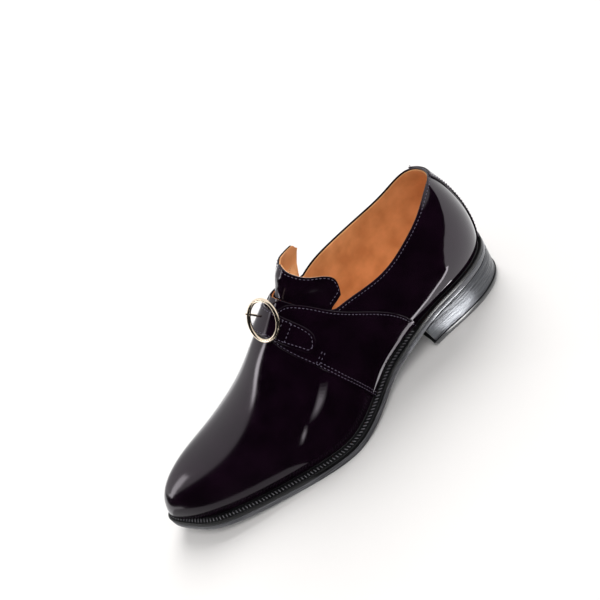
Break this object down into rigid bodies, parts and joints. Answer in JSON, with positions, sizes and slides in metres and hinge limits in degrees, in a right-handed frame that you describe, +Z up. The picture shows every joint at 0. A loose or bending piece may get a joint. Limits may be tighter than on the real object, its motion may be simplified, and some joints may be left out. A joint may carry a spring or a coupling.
{
  "type": "monk strap shoe",
  "caption": "Left low dress shoe with a plain peaked vamp, standing tongue, one instep strap through a round buckle, welted sole and stacked block heel.",
  "frame": {"origin": "on the ground, at the middle of the shoe's box seen from above", "axes": "+Z up, -Y to the toe, +X to the outer side of the left foot"},
  "size_m": [0.1082, 0.2989, 0.1138],
  "materials": {
    "outsole": "satin black edge",
    "welt": "satin black",
    "heel_stack": "polished black edge",
    "heel_top_piece": "matte black",
    "insole": "matte tan",
    "upper": "high gloss dark oxblood",
    "tongue": "high gloss dark oxblood",
    "flap_lateral": "high gloss dark oxblood",
    "flap_medial": "high gloss dark oxblood",
    "strap": "high gloss dark oxblood",
    "back_strip": "high gloss dark oxblood",
    "buckle": "polished pale gold"
  },
  "bodies": {
    "root": {"outsole": "outsole", "welt": "welt", "heel_stack": "heel_stack", "heel_top_piece": "heel_top_piece", "insole": "insole", "upper": "upper", "tongue": "tongue", "flap_lateral": "flap_lateral", "flap_medial": "flap_medial", "strap": "strap", "back_strip": "back_strip", "buckle": "buckle"}
  },
  "joints": []
}
